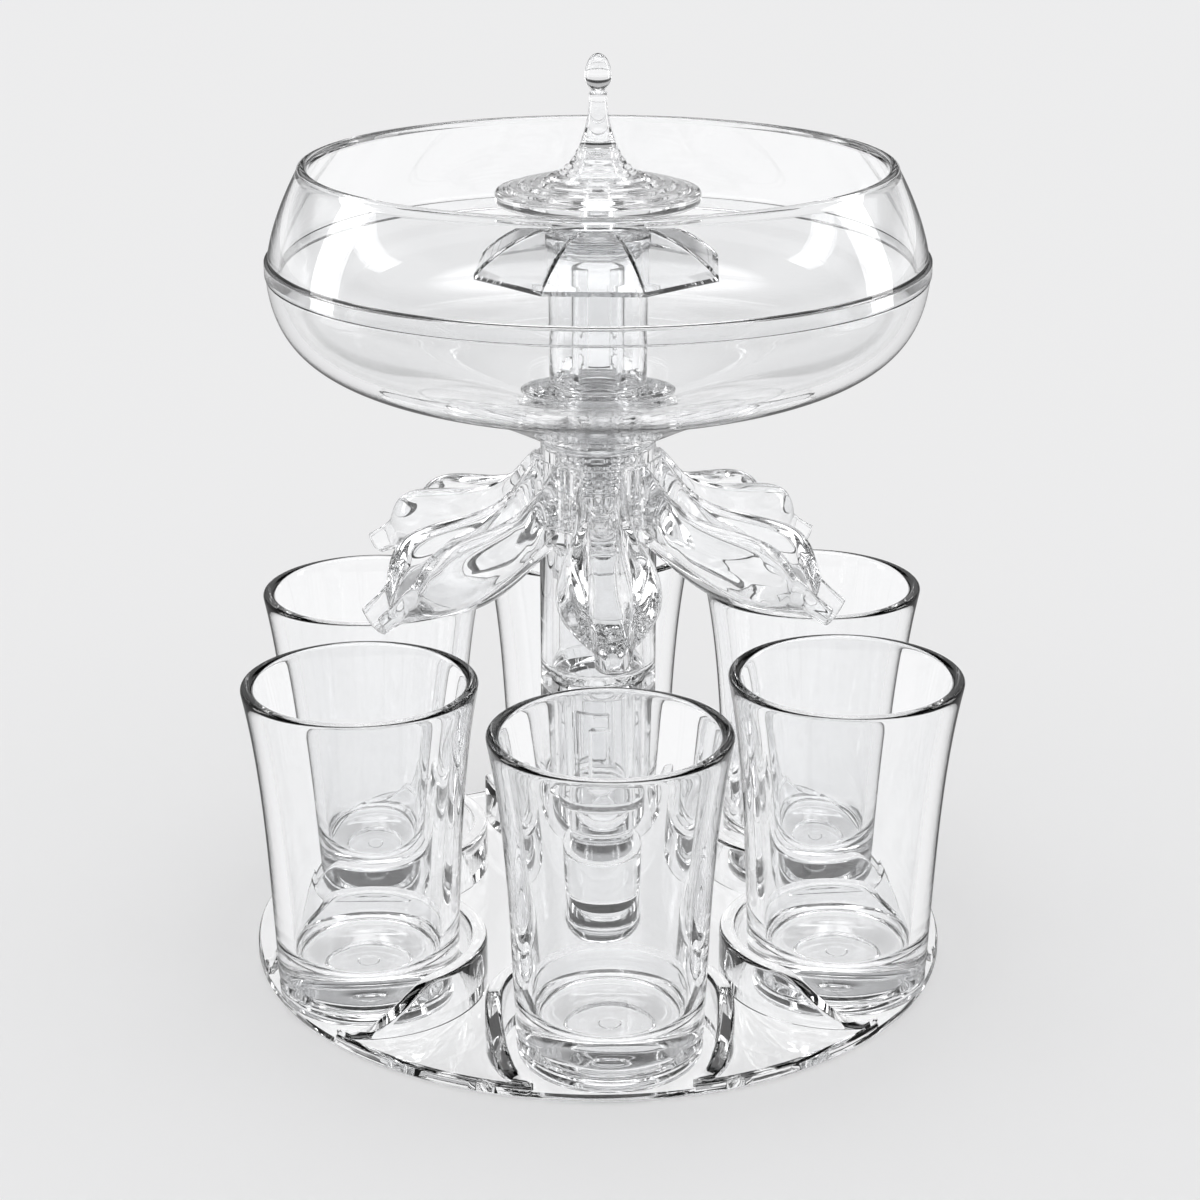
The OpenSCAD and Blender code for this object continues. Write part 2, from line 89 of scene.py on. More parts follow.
def make_camera():
    cam = bpy.data.cameras.new("camera")
    obj = bpy.data.objects.new("camera", cam)
    scene.collection.objects.link(obj)
    cam.sensor_width, cam.lens, cam.shift_x = SENSOR, LENS, SHIFT_X
    cam.clip_start, cam.clip_end = 0.05, 50.0
    turn = math.radians(CAMERA_TURN)
    obj.location = Vector((CAMERA_AWAY * math.sin(turn), -CAMERA_AWAY * math.cos(turn), CAMERA_UP)) * MM
    look_at(obj, Vector((0, 0, AIM_Z)) * MM)
    scene.camera = obj


# ---------------------------------------------------------------- materials, studio and floor
TINT_LOW, TINT_HIGH = (0.942, 0.945, 0.949), (0.984, 0.986, 0.988)
SEAL_TINT = (0.9, 0.92, 0.93)
PLASTIC_IOR, FLOW_SCALE = 1.49, 60.0

STUDIO_STRENGTH, DIFFUSE_STRENGTH = 3.0, 1.03
BACKGROUND = (0.815, 0.815, 0.82, 1)
STUDIO_LOW, STUDIO_TOP = (0.275, 0.275, 0.277, 1), (1.0, 1.0, 1.0, 1)
# (height, grey) from the horizon at 0.5 to overhead at 1: dark bands with a grey wall between, then light
STUDIO_BANDS = [(0.515, 0.275), (0.535, 0.012), (0.585, 0.012), (0.61, 0.17), (0.70, 0.17), (0.73, 0.006),
                (0.90, 0.006), (0.93, 1.0)]

FLOOR_HALF, FLOOR_Z = 3.0, -0.0003             # metres
PAPER = (0.83, 0.83, 0.835, 1)
PAPER_THROUGH, PAPER_REFLECTED = (1.0, 1.0, 1.005, 1), (0.20, 0.20, 0.202, 1)
GATHER_FROM, GATHER_TO, GATHER_GAIN = 0.0050, 0.0074, 1.08    # distances squared, in square metres
GLOW_SHARE, CAMERA_LESS = 0.93, -0.48

BOX_W, BOX_H, BOX_WATTS = 0.11, 0.40, 0.55     # side boxes, in metres and watts
BOX_OUT, BOX_BACK, BOX_Z, BOX_AIM_Z = 0.46, 0.10, 0.24, 0.13


def clear_tree(owner):
    owner.use_nodes = True
    owner.node_tree.nodes.clear()
    return owner.node_tree


def node(nt, kind, values=None, **settings):
    """A new shader node with its settings and the values of its inputs."""
    made = nt.nodes.new("ShaderNode" + kind)
    for key, value in settings.items():
        setattr(made, key, value)
    for key, value in (values or {}).items():
        made.inputs[key].default_value = value
    return made


def link(nt, a, out, b, inp):
    nt.links.new(a.outputs[out], b.inputs[inp])


def math_node(nt, operation, *inputs, **settings):
    """A math node; each input is a number or a pair of a node and its output."""
    made = node(nt, "Math", operation=operation, **settings)
    for i, item in enumerate(inputs):
        if isinstance(item, tuple):
            link(nt, item[0], item[1], made, i)
        else:
            made.inputs[i].default_value = item
    return made


def mix_shaders(nt, factor, a, b):
    made = node(nt, "MixShader")
    link(nt, factor[0], factor[1], made, "Fac")
    link(nt, a, 0, made, 1)
    link(nt, b, 0, made, 2)
    return made


def clear_plastic(name, tint=TINT_LOW, rough=(0.0, 0.012)):
    """Moulded clear plastic: faint flow lines in its colour, and a gloss that varies a little."""
    mat = bpy.data.materials.new(name)
    nt = clear_tree(mat)
    out = node(nt, "OutputMaterial")
    bsdf = node(nt, "BsdfPrincipled", {"Transmission Weight": 1.0, "IOR": PLASTIC_IOR, "Metallic": 0.0})
    link(nt, bsdf, "BSDF", out, "Surface")
    coord = node(nt, "TexCoord")
    noise = node(nt, "TexNoise", {"Scale": FLOW_SCALE, "Detail": 2.0})
    link(nt, coord, "Object", noise, "Vector")
    gloss = node(nt, "MapRange", {"From Min": 0.35, "From Max": 0.8, "To Min": rough[0], "To Max": rough[1]})
    link(nt, noise, "Fac", gloss, "Value")
    link(nt, gloss, "Result", bsdf, "Roughness")
    colour = node(nt, "Mix", data_type="RGBA")
    colour.inputs["A"].default_value = (*tint, 1)
    colour.inputs["B"].default_value = (*TINT_HIGH, 1)
    link(nt, noise, "Fac", colour, "Factor")
    link(nt, colour, "Result", bsdf, "Base Color")
    return mat


def make_world():
    """The camera sees a pale backdrop, the paper gets plain light, and the clear pieces see a banded studio."""
    world = bpy.data.worlds.new("studio")
    scene.world = world
    nt = clear_tree(world)
    out = node(nt, "OutputWorld")
    path = node(nt, "LightPath")
    coord = node(nt, "TexCoord")
    sep = node(nt, "SeparateXYZ")
    link(nt, coord, "Generated", sep, "Vector")
    height = node(nt, "MapRange", {"From Min": -1.0, "From Max": 1.0})
    link(nt, sep, "Z", height, "Value")
    ramp = node(nt, "ValToRGB")
    stops = ramp.color_ramp.elements
    stops[0].position, stops[0].color = 0.0, STUDIO_LOW
    stops[1].position, stops[1].color = 1.0, STUDIO_TOP
    for position, grey in STUDIO_BANDS:
        stops.new(position).color = (grey, grey, grey * 1.01, 1)
    link(nt, height, "Result", ramp, "Fac")
    seen = node(nt, "Background", {"Strength": STUDIO_STRENGTH})
    link(nt, ramp, "Color", seen, "Color")
    plain = node(nt, "Background", {"Color": (1, 1, 1, 1), "Strength": DIFFUSE_STRENGTH})
    backdrop = node(nt, "Background", {"Color": BACKGROUND})
    by_plastic = math_node(nt, "MAXIMUM", (path, "Is Glossy Ray"), (path, "Is Transmission Ray"))
    light = mix_shaders(nt, (by_plastic, "Value"), plain, seen)
    link(nt, mix_shaders(nt, (path, "Is Camera Ray"), light, backdrop), 0, out, "Surface")


def paper_colour(nt, path):
    """The colour of the paper's glow: one seen direct, one through the clear pieces, and a dimmer one reflected."""
    bounce = math_node(nt, "SUBTRACT", (path, "Is Glossy Ray"), (path, "Is Transmission Ray"), use_clamp=True)
    pale = node(nt, "Mix", data_type="RGBA")
    pale.inputs["A"].default_value = PAPER_THROUGH
    pale.inputs["B"].default_value = PAPER_REFLECTED
    link(nt, bounce, "Value", pale, "Factor")
    direct = node(nt, "Mix", data_type="RGBA")
    direct.inputs["B"].default_value = PAPER
    link(nt, path, "Is Camera Ray", direct, "Factor")
    link(nt, pale, "Result", direct, "A")
    return direct


def make_floor():
    bm = bmesh.new()
    bm.faces.new([bm.verts.new((x * FLOOR_HALF, y * FLOOR_HALF, FLOOR_Z))
                  for x, y in ((-1, -1), (1, -1), (1, 1), (-1, 1))])
    me = bpy.data.meshes.new("floor")
    bm.to_mesh(me)
    bm.free()
    obj = bpy.data.objects.new("floor", me)
    scene.collection.objects.link(obj)
    mat = bpy.data.materials.new("floor_paper")
    nt = clear_tree(mat)
    out = node(nt, "OutputMaterial")
    path = node(nt, "LightPath")
    paper = node(nt, "BsdfDiffuse", {"Color": PAPER})
    glow = node(nt, "Emission")
    link(nt, paper_colour(nt, path), "Result", glow, "Color")
    # light gathered by the clear pieces lies on the paper under the tray
    where = node(nt, "SeparateXYZ")
    link(nt, node(nt, "NewGeometry"), "Position", where, "Vector")
    squares = [math_node(nt, "MULTIPLY", (where, axis), (where, axis)) for axis in "XY"]
    away = math_node(nt, "ADD", (squares[0], "Value"), (squares[1], "Value"))
    gather = node(nt, "MapRange", {"From Min": GATHER_FROM, "From Max": GATHER_TO, "To Min": GATHER_GAIN,
                                   "To Max": 1.0}, interpolation_type="SMOOTHSTEP")
    link(nt, away, "Value", gather, "Value")
    link(nt, gather, "Result", glow, "Strength")
    # the glow replaces most of the lit paper for the clear pieces, and nearly half of it for the camera
    direct = math_node(nt, "MAXIMUM", (path, "Is Camera Ray"), (path, "Is Glossy Ray"))
    seen = math_node(nt, "MAXIMUM", (direct, "Value"), (path, "Is Transmission Ray"))
    share = math_node(nt, "MULTIPLY", (seen, "Value"), GLOW_SHARE)
    less = math_node(nt, "MULTIPLY_ADD", (path, "Is Camera Ray"), CAMERA_LESS, (share, "Value"))
    link(nt, mix_shaders(nt, (less, "Value"), paper, glow), 0, out, "Surface")
    me.materials.append(mat)


def side_box(name, side):
    """A tall soft box beside the bowl, which lights the clear pieces but not the paper."""
    light = bpy.data.lights.new(name, "AREA")
    light.shape = "RECTANGLE"
    light.size, light.size_y = BOX_W, BOX_H
    light.energy = BOX_WATTS
    obj = bpy.data.objects.new(name, light)
    scene.collection.objects.link(obj)
    obj.location = (BOX_OUT * side, BOX_BACK, BOX_Z)
    look_at(obj, (0, 0, BOX_AIM_Z))
    obj.visible_diffuse = False


make_camera()
make_world()
make_floor()
side_box("left_box", -1)
side_box("right_box", 1)

scene.view_settings.view_transform = "Standard"
scene.cycles.max_bounces = 18
scene.cycles.transmission_bounces = 18
scene.cycles.glossy_bounces = 12
scene.cycles.diffuse_bounces = 3

MATS = {name: clear_plastic(name) for name in (
    "clear_tray", "clear_post", "clear_hub", "clear_arm", "clear_bowl", "clear_valve", "clear_stopper",
    "clear_glass")}
MATS["clear_seal"] = clear_plastic("clear_seal", tint=SEAL_TINT, rough=(0.1, 0.25))
SLOT = {s["node"]: s["material_slot"] for s in frame["record"]["subparts"]}


# ---------------------------------------------------------------- curves (millimetres)
def smooth(u):
    u = min(1.0, max(0.0, u))
    return u * u * (3 - 2 * u)


def bezier(points, t):
    n = len(points) - 1
    x = y = 0.0
    for i, p in enumerate(points):
        w = math.comb(n, i) * (t ** i) * ((1 - t) ** (n - i))
        x += w * p[0]
        y += w * p[1]
    return x, y


def corner_arc(before, corner, after, fillet, step):
    """The points of a fillet, or the corner itself where the line hardly bends."""
    u, v = before - corner, after - corner
    lu, lv = u.length, v.length
    u.normalize()
    v.normalize()
    bend = math.acos(max(-1.0, min(1.0, u.dot(v))))
    if bend > math.radians(174):
        return [(corner.x, corner.y)]
    d = min(fillet / math.tan(bend / 2), 0.49 * lu, 0.49 * lv)
    r = d * math.tan(bend / 2)
    centre = corner + (u + v).normalized() * (r / math.sin(bend / 2))
    p0, p1 = corner + u * d, corner + v * d
    a0 = math.atan2(p0.y - centre.y, p0.x - centre.x)
    a1 = math.atan2(p1.y - centre.y, p1.x - centre.x)
    sweep = (a1 - a0 + math.pi) % (2 * math.pi) - math.pi
    k = max(2, int(abs(math.degrees(sweep)) / step) + 1)
    return [(centre.x + r * math.cos(a0 + sweep * j / k), centre.y + r * math.sin(a0 + sweep * j / k))
            for j in range(k + 1)]


def rounded(points, step=14.0):
    """A profile of (r, z) or (r, z, fillet) corners with its fillets drawn and doubled points left out."""
    out = []
    for i, p in enumerate(points):
        corner = Vector(p[:2])
        if len(p) < 3:
            out.append((corner.x, corner.y))
            continue
        out += corner_arc(Vector(points[i - 1][:2]), corner, Vector(points[(i + 1) % len(points)][:2]), p[2], step)
    clean = []
    for q in out:
        if not clean or (abs(q[0] - clean[-1][0]) + abs(q[1] - clean[-1][1])) > 0.004:
            clean.append(q)
    return clean


# ---------------------------------------------------------------- meshes (millimetres in, metres out)
def polar(angle, radius=RING_R):
    a = math.radians(angle)
    return radius * math.cos(a), radius * math.sin(a)


def vertex(bm, x, y, z):
    return bm.verts.new((x * MM, y * MM, z * MM))


def bridge(bm, rows, closed=False):
    """Quads between neighbouring loops of vertices; with closed, also from the last loop to the first."""
    n = len(rows[0])
    for a, b in zip(rows, rows[1:] + (rows[:1] if closed else [])):
        for j in range(n):
            k = (j + 1) % n
            bm.faces.new((a[j], a[k], b[k], b[j]))


def lathe(profile, seg=144, at=(0.0, 0.0)):
    """A closed profile of (r, z) points turned about the vertical through at; points on the axis become poles."""
    area2 = sum(profile[i - 1][0] * p[1] - p[0] * profile[i - 1][1] for i, p in enumerate(profile))
    prof = profile if area2 > 0 else profile[::-1]
    bm = bmesh.new()
    rings = []
    for r, z in prof:
        if r < 1e-4:
            rings.append([vertex(bm, at[0], at[1], z)])
        else:
            rings.append([vertex(bm, at[0] + r * math.cos(2 * math.pi * j / seg),
                                 at[1] + r * math.sin(2 * math.pi * j / seg), z) for j in range(seg)])
    for a, b in zip(rings, rings[1:] + rings[:1]):
        if len(a) == 1 and len(b) == 1:
            continue
        for j in range(seg):
            k = (j + 1) % seg
            if len(a) == 1:
                bm.faces.new((a[0], b[k], b[j]))
            elif len(b) == 1:
                bm.faces.new((a[j], a[k], b[0]))
            else:
                bm.faces.new((a[j], a[k], b[k], b[j]))
    return bm


def box_mesh(lo, hi, turn=0.0):
    bm = bmesh.new()
    bmesh.ops.create_cube(bm, size=1.0)
    for v in bm.verts:
        v.co = Vector([(lo[i] + (hi[i] - lo[i]) * (v.co[i] + 0.5)) * MM for i in range(3)])
    bmesh.ops.rotate(bm, verts=bm.verts, matrix=Matrix.Rotation(math.radians(turn), 3, "Z"))
    return bm


def soften(me, sharp):
    me.shade_smooth()
    me.set_sharp_from_angle(angle=math.radians(sharp))


def to_object(name, bm, sharp=32.0):
    bm.normal_update()
    me = bpy.data.meshes.new(name)
    bm.to_mesh(me)
    bm.free()
    soften(me, sharp)
    obj = bpy.data.objects.new(name, me)
    scene.collection.objects.link(obj)
    return obj


def turned(name, points, seg=144, at=(0.0, 0.0), sharp=32.0):
    return to_object(name, lathe(rounded(points), seg, at), sharp)


def combine(a, b, op):
    """a op b with exact booleans; b is used up."""
    mod = a.modifiers.new("cut", "BOOLEAN")
    mod.operation = op
    mod.solver = "EXACT"
    mod.object = b
    bpy.context.view_layer.update()
    deps = bpy.context.evaluated_depsgraph_get()
    me = bpy.data.meshes.new_from_object(a.evaluated_get(deps))
    a.modifiers.clear()
    old = a.data
    a.data = me
    bpy.data.meshes.remove(old)
    used = b.data
    bpy.data.objects.remove(b)
    bpy.data.meshes.remove(used)
    soften(me, 32.0)


def place(obj, body, piece):
    """The finished mesh takes the place of its CAD node, rides on its body and gets its material."""
    obj.data.materials.clear()
    obj.data.materials.append(MATS[SLOT[piece]])
    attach(obj, body)
    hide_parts(piece)


# ---------------------------------------------------------------- tray
def ramp_z(u):
    """Height of a glass wall's top, u being how far outward it stands from the glass's middle."""
    return WALL_TOP - (WALL_TOP - TIP_TOP) * smooth((u - RAMP_START) / (RAMP_END - RAMP_START))


def edge_distance(phi, radius):
    """From a glass's middle to a circle about the tray's middle, in the direction phi."""
    c, s = math.cos(phi), math.sin(phi)
    return -RING_R * c + math.sqrt(radius * radius - RING_R * RING_R * s * s)


def wall_section(phi):
    """The wall's section in the direction phi: an upright strip with a rounded top, as (r, z) points."""
    low, rim, half_turn = 1.1, TRAY_R - 0.35, math.pi / 2
    c, s = math.cos(phi), math.sin(phi)
    r0, r1 = SEAT_R, WALL_OUT
    if c > 0:
        r0 = max(SEAT_R, HALF_GAP / max(abs(s), 1e-6))
        r1 = min(WALL_OUT, edge_distance(phi, rim))
    r1 = max(r1, r0 + 0.35)
    f = min(1.0, 0.45 * (r1 - r0))
    section = [(r0, low)]
    for r, z, start in ((r0 + f, ramp_z(r0 * c) - f, math.pi), (r1 - f, ramp_z(r1 * c) - f, half_turn)):
        for k in range(6):
            a = start - half_turn * k / 5
            section.append((r + f * math.cos(a), z + f * math.sin(a)))
    return section + [(r1, low)]


def glass_wall(turn):
    """The C-shaped wall round one glass, open toward the tray's edge."""
    bm = bmesh.new()
    half_open, n = math.radians(45.3), 150
    rows = []
    for i in range(n + 1):
        # closer stations near the two tips
        s = i / n - 0.12 * math.sin(2 * math.pi * i / n)
        phi = half_open + (2 * math.pi - 2 * half_open) * s
        rows.append([vertex(bm, RING_R + r * math.cos(phi), r * math.sin(phi), z) for r, z in wall_section(phi)])
    bridge(bm, rows)
    bm.faces.new(rows[0][::-1])
    bm.faces.new(rows[-1])
    bmesh.ops.recalc_face_normals(bm, faces=bm.faces)
    bmesh.ops.rotate(bm, verts=bm.verts, matrix=Matrix.Rotation(math.radians(turn), 3, "Z"))
    return bm


def make_tray():
    tray = turned("tray_body", [(0, 0), (TRAY_R, 0, 0.7), (TRAY_R, DECK_TOP, 0.9), (0, DECK_TOP)], seg=360)
    seat_r, above, half = SEAT_R + 0.5, 9.0, HALF_GAP + 0.4
    for turn in TURNS:
        seat = to_object("seat", lathe([(0, TRAY_FLOOR), (seat_r, TRAY_FLOOR), (seat_r, above), (0, above)],
                                       seg=120, at=polar(turn)))
        opening = box_mesh((RING_R + 6.3, -half, TRAY_FLOOR), (RING_R + 40, half, above + 0.5), turn)
        combine(seat, to_object("opening", opening), "UNION")
        combine(tray, seat, "DIFFERENCE")
    for turn in TURNS:
        combine(tray, to_object("wall", glass_wall(turn)), "UNION")
    combine(tray, turned("boss", [
        (0, 1.0), (14.5, 1.0), (14.5, DECK_TOP + SLIT), (BOSS_R, DECK_TOP + 0.05, 2.4), (BOSS_R, BOSS_TOP, 0.5),
        (SOCKET_R, BOSS_TOP, 0.3), (SOCKET_R, SOCKET_Z, 0.2), (0, SOCKET_Z)]), "UNION")
    place(tray, "stand", "tray")


# ---------------------------------------------------------------- post and column
def make_post():
    foot, top = SOCKET_Z + SLIT, SEAM_Z - 2 * SLIT
    post = turned("base_post_body", [
        (0, foot), (SPIGOT_R, foot, 0.6), (SPIGOT_R, NECK_Z, 0.7), (POST_R, NECK_Z, 0.9), (POST_R, top, 0.35),
        (SLEEVE_BORE, top, 0.3), (SLEEVE_BORE, POST_FLOOR, 1.2), (0, POST_FLOOR)])
    for turn in LUG_TURNS:
        lug = box_mesh((SLEEVE_IN + 0.3, -LUG_W / 2, LUG_Z), (11.0, LUG_W / 2, LUG_Z + LUG_H), turn)
        bmesh.ops.bevel(lug, geom=lug.edges[:], offset=0.35 * MM, segments=2, affect="EDGES")
        combine(post, to_object("lug", lug), "UNION")
    place(post, "stand", "base_post")


def bayonet_wedge(turn):
    """The part of the L-shaped slot in which a lug travels as the column twists."""
    bm = bmesh.new()
    n, start, end = 24, turn - BAYONET_TURN - 13.6, turn + 13.6
    low, high = [], []
    for i in range(n + 1):
        for r, row in ((5.6, low), (9.6, high)):
            x, y = polar(start + (end - start) * i / n, r)
            row.append([vertex(bm, x, y, z) for z in (LUG_Z - SLOT_PLAY, LUG_Z + LUG_H + SLOT_PLAY)])
    for i in range(n):
        bm.faces.new((low[i][0], low[i + 1][0], high[i + 1][0], high[i][0]))
        bm.faces.new((low[i][1], high[i][1], high[i + 1][1], low[i + 1][1]))
        bm.faces.new((low[i][0], low[i][1], low[i + 1][1], low[i + 1][0]))
        bm.faces.new((high[i][0], high[i + 1][0], high[i + 1][1], high[i][1]))
    bm.faces.new((low[0][0], high[0][0], high[0][1], low[0][1]))
    bm.faces.new((low[n][0], low[n][1], high[n][1], high[n][0]))
    bmesh.ops.recalc_face_normals(bm, faces=bm.faces)
    return bm


def make_column():
    column = turned("column_tube", [
        (SLEEVE_IN, SLEEVE_BOTTOM, 0.3), (SLEEVE_R, SLEEVE_BOTTOM, 0.5), (SLEEVE_R, SEAM_Z),
        (POST_R, SEAM_Z + 2 * SLIT, 0.35), (POST_R, COLUMN_TOP, 0.5), (COLUMN_IN, COLUMN_TOP, 0.3),
        (COLUMN_IN, 66.0, 2.0), (SLEEVE_IN, 63.0, 1.5)])
    half = LUG_W / 2 + SLOT_PLAY
    for turn in LUG_TURNS:
        combine(column, to_object("wedge", bayonet_wedge(turn)), "DIFFERENCE")
        entry = box_mesh((5.1, -half, SLEEVE_BOTTOM - 1.5), (9.2, half, LUG_Z + LUG_H + 0.24), turn - BAYONET_TURN)
        combine(column, to_object("entry", entry), "DIFFERENCE")
    place(column, "column", "column")


# ---------------------------------------------------------------- hub
def hexagon():
    bm = bmesh.new()
    corner = HEX_A / math.cos(math.radians(30))
    rows = [[vertex(bm, *polar(60 * i, corner), z) for i in range(6)] for z in (COLUMN_TOP + SLIT, HEX_TOP)]
    bridge(bm, rows)
    bm.faces.new(rows[0][::-1])
    bm.faces.new(rows[1])
    bmesh.ops.bevel(bm, geom=bm.edges[:], offset=0.8 * MM, segments=4, affect="EDGES")
    return bm


def spoke(name, profile, turn, seg):
    """A lathed piece laid on its side at the height of the ports, pointing outward."""
    bm = lathe(profile, seg=seg)
    bm.transform(Matrix.Rotation(math.radians(turn), 4, "Z") @ Matrix.Translation((0, 0, PORT_Z * MM))
                 @ Matrix.Rotation(math.radians(90), 4, "Y"))
    return to_object(name, bm)


def make_hub():
    hub = to_object("manifold_hub_body", hexagon())
    spigot_top, neck_low, neck_top = COLUMN_TOP + 1.0, HEX_TOP - 1.2, HUB_NECK_TOP - SLIT
    combine(hub, turned("core", [
        (0, HUB_SPIGOT_Z), (HUB_SPIGOT_R, HUB_SPIGOT_Z, 0.6), (HUB_SPIGOT_R, spigot_top), (12.0, spigot_top),
        (12.0, neck_low), (HUB_NECK_R, neck_low + 0.2), (HUB_NECK_R, neck_top, 0.4), (0, neck_top)]), "UNION")
    for turn in TURNS:
        combine(hub, spoke("stub", [(0, 6.0), (STUB_R, 6.0), (STUB_R, 15.3), (STUB_R - 0.3, 15.6), (0, 15.6)],
                           turn, 40), "UNION")
    combine(hub, turned("bore", [
        (0, CHAMBER_FLOOR), (CHAMBER_R, CHAMBER_FLOOR, 1.2), (CHAMBER_R, CHAMBER_TOP), (THREAD_R, CHAMBER_TOP),
        (THREAD_R, 118.0), (0, 118.0)], seg=120), "DIFFERENCE")
    combine(hub, turned("under", [(0, 86.0), (CHAMBER_R, 86.0), (CHAMBER_R, 93.0, 1.5), (0, 93.0)], seg=120),
            "DIFFERENCE")
    for turn in TURNS:
        combine(hub, spoke("port", [(0, 5.0), (PORT_R, 5.0), (PORT_R, 17.0), (0, 17.0)], turn, 36), "DIFFERENCE")
    hub.data.transform(Matrix.Rotation(math.radians(HEAD_TURN), 4, "Z"))
    place(hub, "head", "manifold_hub")


# ---------------------------------------------------------------- spout arms
# ridge and keel as Bezier control points (r, z); pod and chute as half sections (share of half width, of half height)
RIDGE = [(13.04, 114.2), (19.4, 109.6), (20.5, 99.3), (30.1, 101.4), (49.3, 107.6), (50.2, 98.7), (42.6, 95.9),
         (56.6, 88.2)]
KEEL = [(13.04, 94.1), (20.4, 88.9), (29.4, 84.6), (36.7, 82.2), (44.9, 87.8), (54.2, 83.2)]
POD = [(0, -1), (0.42, -0.93), (0.74, -0.68), (0.94, -0.30), (1, 0.10), (0.95, 0.56), (0.80, 0.92)]
CHUTE = [(0, -1), (0.42, -0.92), (0.76, -0.66), (0.95, -0.25), (1, 0.20), (1, 0.60), (0.98, 0.90)]
ROOT_W, BELLY_W, SPOUT_W, BELLY_R = 5.6, 11.0, 3.9, 38.0


def arm_half_width(r):
    if r < BELLY_R:
        return ROOT_W + (BELLY_W - ROOT_W) * smooth((r - 13) / (BELLY_R - 13))
    return max(SPOUT_W, BELLY_W - (BELLY_W - SPOUT_W) * ((r - BELLY_R) / 12.5) ** 2.2)


def cut_corners(loop):
    """One round of corner cutting, which turns a closed polygon into a smoother one of twice the points."""
    fine = []
    for p, q in zip(loop, loop[1:] + loop[:1]):
        fine.append((0.75 * p[0] + 0.25 * q[0], 0.75 * p[1] + 0.25 * q[1]))
        fine.append((0.25 * p[0] + 0.75 * q[0], 0.25 * p[1] + 0.75 * q[1]))
    return fine


def arm_section(t):
    """Closed loop of one section: round the outside from the keel, over a ridge, down into the channel and back."""
    top, low = bezier(RIDGE, t), bezier(KEEL, t)
    mx, mz = (top[0] + low[0]) / 2, (top[1] + low[1]) / 2
    dx, dz = top[0] - low[0], top[1] - low[1]
    length = math.hypot(dx, dz)
    ux, uz = dx / length, dz / length
    h = length / 2
    w = arm_half_width(mx)
    s = smooth((t - 0.68) / 0.24)
    at_port = 1.05 * (1 - smooth((t - 0.08) / 0.14))
    at_belly = 1.4 * smooth((t - 0.3) / 0.4) * (1 - smooth((t - 0.8) / 0.15))
    channel = 2.7 + at_port + at_belly
    bed = 5 - 3.8 * smooth((t - 0.3) / 0.7) - h
    half = [(((1 - s) * a[0] + s * b[0]) * w, ((1 - s) * a[1] + s * b[1]) * h) for a, b in zip(POD, CHUTE)]
    half += [(((0.8 + 0.2 * s) * w + channel) / 2, h), (channel + 0.2, h - 0.9), (channel, bed + 1),
             (0.7 * channel, bed), (0, bed)]
    loop = cut_corners(cut_corners(half + [(-v, q) for v, q in half[-2:0:-1]]))
    return [(mx + ux * q, v, mz + uz * q) for v, q in loop]


def make_arm(k):
    name = "spout_arm_%d" % (k + 1)
    bm = bmesh.new()
    n = 76
    turn = math.radians(TURNS[k] + HEAD_TURN)
    c, s = math.cos(turn), math.sin(turn)
    rows = [[vertex(bm, x * c - y * s, x * s + y * c, z) for x, y, z in arm_section(i / n)] for i in range(n + 1)]
    bridge(bm, rows)
    bm.faces.new(rows[0][::-1])
    end = bm.faces.new(rows[-1])
    bmesh.ops.recalc_face_normals(bm, faces=bm.faces)
    bmesh.ops.bevel(bm, geom=list(end.edges), offset=0.38 * MM, segments=3, affect="EDGES", clamp_overlap=True)
    place(to_object(name + "_body", bm, sharp=50), "head", name)


# ---------------------------------------------------------------- bowl
# outside of the lower shell as Bezier control points (r, z)
BOWL = [(12.8, 117.62), (26.1, 124.3), (38.5, 131.7), (55.1, 130.8), (67.9, 134.7), (69.3, 154.3)]


def bowl_inside(t):
    """The point of the lower shell's inside that faces the outside's point t."""
    x, z = bezier(BOWL, t)
    x0, z0 = bezier(BOWL, max(0, t - 0.01))
    x1, z1 = bezier(BOWL, min(1, t + 0.01))
    d = math.hypot(x1 - x0, z1 - z0)
    return x - SHELL_T * (z1 - z0) / d, z + SHELL_T * (x1 - x0) / d


def make_bowl_lower():
    n, low, top = 64, SEAL_TOP + SLIT, JOINT_Z - 2 * SLIT
    outer = [bezier(BOWL, i / n) for i in range(n)]
    inner = [bowl_inside(i / n) for i in range(n, -1, -1)]
    inner = [q for q in inner if q[0] > BOSS_FLAT_R + 0.9 and q[1] < JOINT_Z - 0.3]
    place(turned("bowl_lower_shell", [(BOWL_HOLE, low, 0.3)] + outer + [
        (BOWL_R, top, 0.3), (LAP_R, top, 0.15), (LAP_R, LAP_TOP, 0.3), (BOWL_R - SHELL_T, LAP_TOP, 0.3)]
        + inner + [(BOSS_FLAT_R, BOSS_FLAT_Z, 0.8), (BOWL_HOLE, BOSS_FLAT_Z, 0.3)], seg=256, sharp=40),
        "head", "bowl_lower")


def upper_r(z):
    return BOWL_R - 0.25 - 6.85 * (max(0.0, z - 155.5) / 19.9) ** 1.6


